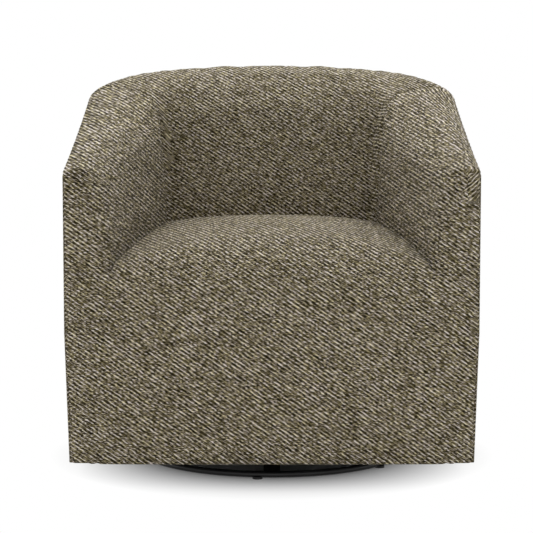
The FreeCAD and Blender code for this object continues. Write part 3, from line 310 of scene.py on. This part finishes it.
# Felt over the seat springs
# A grey needled pad, laid over the zigzag springs so that they do not cut the foam. It sinks a
# little between the springs' runs.
SOFTEN_SHARE = 0.5
REAR_CORNER = 165 * MM


def apply_modifiers(piece):
    """Leaves the piece with its modifiers' result as its mesh."""
    graph = bpy.context.evaluated_depsgraph_get()
    graph.update()
    result = bpy.data.meshes.new_from_object(piece.evaluated_get(graph))
    piece.modifiers.clear()
    piece.data = result


def remesh(piece, voxel):
    """An even skin of small quads over the piece."""
    modifier = piece.modifiers.new("skin", "REMESH")
    modifier.mode = "VOXEL"
    modifier.voxel_size = voxel
    modifier.adaptivity = 0
    apply_modifiers(piece)


def soften(piece, passes):
    """Relaxes the skin, which rounds its edges as padding does."""
    skin = bmesh.new()
    skin.from_mesh(piece.data)
    for _ in range(passes):
        bmesh.ops.smooth_vert(skin, verts=skin.verts, factor=SOFTEN_SHARE,
                              use_axis_x=True, use_axis_y=True, use_axis_z=True)
    skin.to_mesh(piece.data)
    skin.free()


def weave_map(piece, lay):
    """Two UV maps in metres: how the wales lie on each face, and the rows of stitches along them."""
    mesh = piece.data
    places = np.empty(len(mesh.vertices) * 3)
    mesh.vertices.foreach_get("co", places)
    corners = np.empty(len(mesh.loops), dtype=int)
    mesh.loops.foreach_get("vertex_index", corners)
    places = places.reshape(-1, 3)[corners]
    normals = np.empty(len(mesh.polygons) * 3)
    mesh.polygons.foreach_get("normal", normals)
    sizes = np.empty(len(mesh.polygons), dtype=int)
    mesh.polygons.foreach_get("loop_total", sizes)
    normals = np.repeat(normals.reshape(-1, 3), sizes, axis=0)
    across, upward, rows = lay(places, normals)
    for name, height in (("weave", upward), ("rows", rows)):
        layer = mesh.uv_layers.new(name=name)
        layer.data.foreach_set("uv", np.column_stack((across, height)).ravel())


def lay_outside(places, normals):
    """Cloth that hangs straight down the outside and runs round the rear corners. lost is what a
    corner's rounding takes from a side and the back together, where the lay passes from one to
    the other at 45 degrees."""
    x, y, z = places.T
    width = cad_box[1][0] - cad_box[0][0]
    lost = 2 * REAR_CORNER * (1 - math.sqrt(0.5))
    on_side = np.abs(normals[:, 0]) >= np.abs(normals[:, 1])
    left = -y
    back = lost - x - width
    right = y - 2 * (width - lost)
    across = np.where(on_side, np.where(normals[:, 0] < 0, left, right), back)
    return across, z, z


def finish_soft(piece, material, slot, *replaced):
    """Smooth shading, material, body and the CAD nodes that the piece stands for. The slot argument is
    not used.
    """
    piece.data.shade_smooth()
    piece.data.materials.clear()
    piece.data.materials.append(material)
    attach(piece, "chair")
    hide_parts(*replaced)


make = Nodes("needled_felt")
tufts = make.noise(make.place(), scale=420, detail=5, roughness=0.75)
felt_colour = make.ramp(tufts, (0.25, (0.2, 0.19, 0.175, 1)), (0.8, (0.5, 0.48, 0.45, 1)))
needled_felt = make.surface(felt_colour, 0.95, tufts, 0.6 * MM)
felt = cad_copy("deck_felt_pad", "deck_felt")
finish_soft(felt, needled_felt, "felt", "deck_felt")

# Back webbing
# Four woven bands of jute with elastic, stretched from the rear seat rail to the top rail behind
# the inside back.
make = Nodes("jute_webbing")
strands = make.noise(make.place((3, 3, 0.3)), scale=500, detail=3)
webbing_colour = make.ramp(strands, (0.3, (0.16, 0.12, 0.07, 1)), (0.75, (0.42, 0.35, 0.22, 1)))
jute = make.surface(webbing_colour, 0.9, strands, 0.4 * MM)
bands = cad_copy("webbing_bands", "back_webbing")
finish_soft(bands, jute, "webbing", "back_webbing")


# Inside arms
# Foam over the arm boards with the cover pulled tight round it: the arm front, the rolled top and
# the inside are one pad. The cover is a tweed twill of pale slubby stitches on an olive ground.

# Thread pitches across and up, threads to a repeat of the twill, and how far the threads drift.
WARP = 2.96 * MM
WEFT = 2.05 * MM
THREADS = 4.0
DRIFT_SCALE = 30
SWAY = 1.1
# A slub's length in rows, and how much slubs, stitches and holes differ from each other.
SLUB_ROWS = 3
SLUB_SPREAD = 0.35
BEAD_SPREAD = 0.85
PALE_LOW = 0.35
HOLE_DEPTH = 0.8
GROUND_LOW = -0.08
# The stitch's rounded profile, the painted shade that darkens the olive ground between rows, and how far
# the pale wale stands proud.
STITCH_ROUNDNESS = 0.6
PAINTED_SHADE_BETWEEN_ROWS = 0.5
PALE_RISE = 0.6
RELIEF = 0.7 * MM
# Where in a repeat the pale wale lies, and the yarn's shades from the holes to the palest slub.
PALE_WALE = ((0.0, 0.1), (0.08, 0.6), (0.17, 1), (0.27, 1), (0.38, 0.45), (0.46, 0), (0.9, 0), (1.0, 0.1))
YARN_SHADES = ((0.0, (0.010, 0.008, 0.004, 1)), (0.2, (0.045, 0.037, 0.018, 1)),
               (0.45, (0.145, 0.122, 0.075, 1)), (0.75, (0.36, 0.32, 0.25, 1)),
               (1.0, (0.72, 0.67, 0.58, 1)))
YARN_HUES = ((0.3, (1.06, 1.03, 0.78, 1)), (0.5, grey(1)), (0.72, (1, 0.98, 1.08, 1)))


def tweed(name):
    """A two-and-two twill: a pale wale of slubby stitches, then an olive wale with dark holes, whose
    stitches get painted shade between the rows.
    """
    make = Nodes(name)
    wales = make.add("ShaderNodeUVMap", uv_map="weave")
    rows = make.add("ShaderNodeUVMap", uv_map="rows")
    drift = make.add("ShaderNodeTexNoise", noise_dimensions="2D")
    make.feed(drift.inputs["Vector"], rows.outputs[0])
    drift.inputs["Scale"].default_value = DRIFT_SCALE
    drift.inputs["Detail"].default_value = 3
    sway = make.math("MULTIPLY_ADD", drift.outputs["Fac"], SWAY, -SWAY / 2)
    lay = make.add("ShaderNodeSeparateXYZ")
    make.feed(lay.inputs[0], wales.outputs[0])
    run = make.add("ShaderNodeSeparateXYZ")
    make.feed(run.inputs[0], rows.outputs[0])
    ends = make.math("DIVIDE", lay.outputs[0], WARP)
    picks = make.math("DIVIDE", lay.outputs[1], WEFT)
    phase = make.math("DIVIDE", make.math("ADD", make.math("ADD", ends, picks), sway), THREADS)
    height = make.math("ADD", make.math("DIVIDE", run.outputs[1], WEFT), sway)
    wale = make.math("FLOOR", phase)
    row = make.math("FLOOR", height)
    over = make.math("FRACT", phase)
    strand = make.math("FLOOR", make.math("MULTIPLY", over, THREADS))

    def luck(across, along):
        """A chance number and colour for each stitch or slub."""
        stitch = make.add("ShaderNodeCombineXYZ")
        make.feed(stitch.inputs[0], across)
        make.feed(stitch.inputs[1], along)
        chance = make.add("ShaderNodeTexWhiteNoise", noise_dimensions="2D")
        make.feed(chance.inputs["Vector"], stitch.outputs[0])
        return chance

    bead = luck(make.math("MULTIPLY_ADD", wale, THREADS, strand), row)
    slub = luck(wale, make.math("FLOOR", make.math("DIVIDE", height, SLUB_ROWS)))
    pale = make.ramp(over, *((place, grey(level)) for place, level in PALE_WALE))
    rise = make.math("SINE", make.math("MULTIPLY", make.math("FRACT", height), math.pi))
    crown = make.math("POWER", make.math("MAXIMUM", rise, 0.0), STITCH_ROUNDNESS)
    # Painted shade: the olive ground's stitches are darkened towards the edges of each row, following the
    # stitch's rounded profile.
    painted_row_shade = make.math("MULTIPLY_ADD", crown, PAINTED_SHADE_BETWEEN_ROWS, 1 - PAINTED_SHADE_BETWEEN_ROWS)
    ground = make.math("MULTIPLY_ADD", bead.outputs["Value"], HOLE_DEPTH, GROUND_LOW)
    ground = make.math("MULTIPLY", ground, painted_row_shade)
    light = make.math("MULTIPLY_ADD", bead.outputs["Value"], BEAD_SPREAD, PALE_LOW)
    slub_shade = make.math("MULTIPLY_ADD", slub.outputs["Value"], SLUB_SPREAD, 1 - SLUB_SPREAD / 2)
    light = make.math("MULTIPLY", light, slub_shade)
    yarn = make.ramp(make.mix(pale, ground, light), *YARN_SHADES)
    colour = make.mix(1.0, yarn, make.ramp(bead.outputs["Color"], *YARN_HUES), "MULTIPLY")
    relief = make.math("MULTIPLY", make.math("MULTIPLY_ADD", pale, PALE_RISE, 1 - PALE_RISE), crown)
    return make.surface(colour, 0.9, relief, RELIEF, Sheen_Weight=0.03, Sheen_Roughness=0.5,
                        Specular_IOR_Level=0.08)


cover_cloth = tweed("tweed_twill")
# The skin's quads, the seams and corners of the arm front, and the roll of its inner edge.
SKIN = 6 * MM
ARM_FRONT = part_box("arm_pad_left")[0][1]
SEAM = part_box("front_panel")[1][2]
PANEL_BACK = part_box("front_panel")[1][1]
CORNER_X = 360 * MM
TUCK = 5 * MM
FRONT_ROLL = 30 * MM
ARM_EDGE_FOOT = 312 * MM
ARM_EDGE_SPLAY = 0.18
ARM_EDGE_FLARE = 0.15
# The strips in which the ridge of the right arm is looked for, and how far below it the roll ends.
RIDGE_STRIP = 10 * MM
RIDGE_DROP = 60 * MM
# What the cloth simulation doesn't hold to, how hard the foam presses, how far the cover may move.
UNDER_THE_SEAT = ("deck_felt", "deck_springs", "spring_clips")
HELD_WITHIN = 7 * MM
FOAM_PRESSURE = 4
CLOTH_STEPS = 12
SPARE_CLOTH = 0.004
MOST_SWELL = 7 * MM
LEAST_MOVE = 1e-9
FILLED = 0.6


def lay_with_grain(slope, run):
    """Cloth whose wales and rows drift by these shares as it runs back from the front."""
    def lay(places, normals):
        x, y, z = places.T
        back = y - ARM_FRONT
        return x, z + slope * back, z + run * back
    return lay


def lay_over_outer_roll(slope, run):
    """The same, where the cloth also turns down over the right arm's outer edge. The ridge is the
    highest point of each strip along the arm, and beyond it the height counts on downwards."""
    along = lay_with_grain(slope, run)

    def lay(places, normals):
        x, y, z = places.T
        strip = np.floor((y - y.min()) / RIDGE_STRIP).astype(int)
        ridge = np.zeros(strip.max() + 1)
        np.maximum.at(ridge, strip, z)
        strip_middles = y.min() + (np.arange(len(ridge)) + 0.5) * RIDGE_STRIP
        top = np.interp(y, strip_middles, ridge)
        beyond = (normals[:, 0] > 0) & (z > top - RIDGE_DROP)
        folded = np.where(beyond, 2 * top - z, z)
        return along(np.column_stack((x, y, folded)), normals)
    return lay


def tuck(piece, by):
    """Runs the cover on past the seams at the foot of the arm front and down the outside corners."""
    for vertex in piece.data.vertices:
        if abs(vertex.co.z - SEAM) < MM and vertex.co.y < ARM_FRONT + 2 * FRONT_ROLL:
            vertex.co.z += by
        if abs(vertex.co.y - PANEL_BACK) < MM and abs(vertex.co.x) > CORNER_X:
            vertex.co.y += TUCK


def roll_arm_front(piece):
    """Rounds the upright edge where the arm front turns into the inside arm."""
    for vertex in piece.data.vertices:
        x, y, z = vertex.co
        if y > ARM_FRONT + FRONT_ROLL:
            continue
        edge = ARM_EDGE_FOOT + ARM_EDGE_SPLAY * (z - SEAM) - ARM_EDGE_FLARE * (y - ARM_FRONT)
        across = FRONT_ROLL - (abs(x) - edge)
        deep = FRONT_ROLL - (y - ARM_FRONT)
        far = math.hypot(across, deep)
        if across > 0 and far > FRONT_ROLL:
            vertex.co.x = math.copysign(edge + FRONT_ROLL - across / far * FRONT_ROLL, x)
            vertex.co.y = ARM_FRONT + FRONT_ROLL - deep / far * FRONT_ROLL


def held_points(piece, *sources):
    """The places where the pad lies on its boards or is sewn to the next pad."""
    around = bmesh.new()
    for name, node in nodes.items():
        if name not in sources and name not in UNDER_THE_SEAT:
            around.from_mesh(node.data)
    tree = BVHTree.FromBMesh(around)
    around.free()
    return [v.index for v in piece.data.vertices if tree.find_nearest(v.co, HELD_WITHIN)[0] is not None]


def fill_out(piece, *sources):
    """Brings the softened skin part of the way back out to the pad's true outline."""
    outline = bmesh.new()
    for source in sources:
        outline.from_mesh(nodes[source].data)
    tree = BVHTree.FromBMesh(outline)
    outline.free()
    for vertex in piece.data.vertices:
        vertex.co = vertex.co.lerp(tree.find_nearest(vertex.co)[0], FILLED)


def puff(piece, *sources):
    """Lets the foam press the cover out, with cloth simulated from a slightly smaller shape."""
    group = piece.vertex_groups.new(name="held")
    group.add(held_points(piece, *sources), 1.0, "REPLACE")
    before = np.empty(len(piece.data.vertices) * 3)
    piece.data.vertices.foreach_get("co", before)
    cloth = piece.modifiers.new("cover", "CLOTH").settings
    cloth.vertex_group_mass = "held"
    cloth.use_pressure = True
    cloth.uniform_pressure_force = FOAM_PRESSURE
    cloth.shrink_min = cloth.shrink_max = -SPARE_CLOTH
    cloth.effector_weights.gravity = 0
    for step in range(1, CLOTH_STEPS + 1):
        bpy.context.scene.frame_set(step)
    apply_modifiers(piece)
    bpy.context.scene.frame_set(1)
    after = np.empty_like(before)
    piece.data.vertices.foreach_get("co", after)
    moved = (after - before).reshape(-1, 3)
    far = np.linalg.norm(moved, axis=1, keepdims=True)
    moved *= MOST_SWELL * np.tanh(far / MOST_SWELL) / np.maximum(far, LEAST_MOVE)
    piece.data.vertices.foreach_set("co", before + moved.ravel())
    piece.vertex_groups.clear()


def upholstered(name, passes, lay, *sources, seam_by=0.0):
    """A padded piece in the space of its CAD solids."""
    piece = cad_copy(name, *sources)
    tuck(piece, seam_by)
    remesh(piece, SKIN)
    soften(piece, passes)
    fill_out(piece, *sources)
    if name.startswith("inside_arm"):
        roll_arm_front(piece)
    puff(piece, *sources)
    weave_map(piece, lay)
    finish_soft(piece, cover_cloth, "cover_fabric", *sources)


upholstered("inside_arm_left", 3, lay_with_grain(slope=0.17, run=0.04), "arm_pad_left", seam_by=-TUCK)
upholstered("inside_arm_right", 3, lay_over_outer_roll(slope=0.03, run=0.16), "arm_pad_right",
            seam_by=-TUCK)

# Inside back
# One pad of foam over the webbing, rolled over the top rail, sewn to the arms at a mitre.
upholstered("inside_back", 3, lay_with_grain(slope=0.25, run=0.4), "back_pad")

# Seat and front
# The seat's crowned foam and the front board share one piece of cover, which comes down over the
# front edge without a seam.
upholstered("seat_and_front", 4, lay_with_grain(slope=0.2, run=0.4), "seat_pad", "front_panel",
            seam_by=TUCK)

# Outside cover
# The same tweed, pulled smooth round the sides and the back over the fibreboard and folded under
# at the hem. It is cut as long as both sides and the back together, and as high as the back.
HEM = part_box("outside_cover")[0][2]
HEM_TURN = 3 * MM
outer = cad_copy("outer_cover", "outside_cover")
for corner in outer.data.vertices:
    if corner.co.z < HEM + MM:
        corner.co.z += HEM_TURN
weave_map(outer, lay_outside)
finish_soft(outer, cover_cloth, "cover_fabric", "outside_cover")

# Dust cover
# Black spunbond sheet stapled under the frame, cut out round the mechanism.
make = Nodes("spunbond")
web = make.noise(make.place(), scale=900, detail=3, roughness=0.8)
spunbond = make.surface(make.ramp(web, (0.3, grey(0.006)), (0.8, grey(0.03))), 0.8, web, 0.1 * MM)
dust = cad_copy("dust_sheet", "dust_cover")
finish_soft(dust, spunbond, "dust_fabric", "dust_cover")

# Floor and light
# A white sweep that keeps only the shadow near the ring, an even white surround, a big soft lamp
# above and behind the back and a weak one at the left.
FLOOR_SIZE = 14
PAPER = 0.86
SURROUND = 0.98
# The floor shows its shadow within the core, and turns white on the way to the edge.
SHADOW_CORE = 0.24
SHADOW_EDGE = 0.46
floor_mesh = bpy.data.meshes.new("floor")
sweep = bmesh.new()
bmesh.ops.create_grid(sweep, x_segments=1, y_segments=1, size=FLOOR_SIZE)
sweep.to_mesh(floor_mesh)
sweep.free()
floor = bpy.data.objects.new("floor", floor_mesh)
bpy.context.scene.collection.objects.link(floor)
make = Nodes("floor")
paper = make.add("ShaderNodeBsdfDiffuse")
paper.inputs["Color"].default_value = grey(PAPER)
white = make.add("ShaderNodeEmission")
rays = make.add("ShaderNodeLightPath")
distance = make.add("ShaderNodeVectorMath", operation="LENGTH")
make.feed(distance.inputs[0], make.place())
fade = make.add("ShaderNodeMapRange")
make.feed(fade.inputs["Value"], distance.outputs["Value"])
fade.inputs["From Min"].default_value = SHADOW_CORE
fade.inputs["From Max"].default_value = SHADOW_EDGE
seen = make.math("MAXIMUM", rays.outputs["Is Camera Ray"],
                 make.math("MAXIMUM", rays.outputs["Is Glossy Ray"], rays.outputs["Is Transmission Ray"]))
blend = make.add("ShaderNodeMixShader")
make.feed(blend.inputs[0], make.math("MULTIPLY", seen, fade.outputs[0]))
make.feed(blend.inputs[1], paper.outputs[0])
make.feed(blend.inputs[2], white.outputs[0])
output = make.add("ShaderNodeOutputMaterial")
make.feed(output.inputs[0], blend.outputs[0])
floor_mesh.materials.append(make.material)

world = bpy.data.worlds.new("surround")
world.use_nodes = True
bpy.context.scene.world = world
tree = world.node_tree
tree.nodes.clear()
rays = tree.nodes.new("ShaderNodeLightPath")
surround = tree.nodes.new("ShaderNodeBackground")
surround.inputs["Color"].default_value = grey(1)
surround.inputs["Strength"].default_value = SURROUND
backdrop = tree.nodes.new("ShaderNodeBackground")
backdrop.inputs["Color"].default_value = grey(1)
either = tree.nodes.new("ShaderNodeMath")
either.operation = "MAXIMUM"
tree.links.new(rays.outputs["Is Camera Ray"], either.inputs[0])
tree.links.new(rays.outputs["Is Glossy Ray"], either.inputs[1])
choose = tree.nodes.new("ShaderNodeMixShader")
tree.links.new(either.outputs[0], choose.inputs[0])
tree.links.new(surround.outputs[0], choose.inputs[1])
tree.links.new(backdrop.outputs[0], choose.inputs[2])
world_output = tree.nodes.new("ShaderNodeOutputWorld")
tree.links.new(choose.outputs[0], world_output.inputs[0])


def softbox(name, place, aim, size, power):
    """A soft area lamp, turned from its place towards its aim."""
    lamp = bpy.data.lights.new(name, "AREA")
    lamp.shape = "RECTANGLE"
    lamp.size, lamp.size_y = size
    lamp.energy = power
    holder = bpy.data.objects.new(name, lamp)
    holder.location = place
    holder.rotation_euler = (Vector(aim) - Vector(place)).to_track_quat("-Z", "Y").to_euler()
    bpy.context.scene.collection.objects.link(holder)


softbox("above_the_back", place=(0, 1.2, 3.0), aim=(0, 0, 0.4), size=(2.5, 1.5), power=50)
softbox("left", place=(-3.4, -1.8, 1.4), aim=(0, -0.2, 0.4), size=(2.0, 2.0), power=5)
bpy.context.scene.view_settings.view_transform = "Standard"
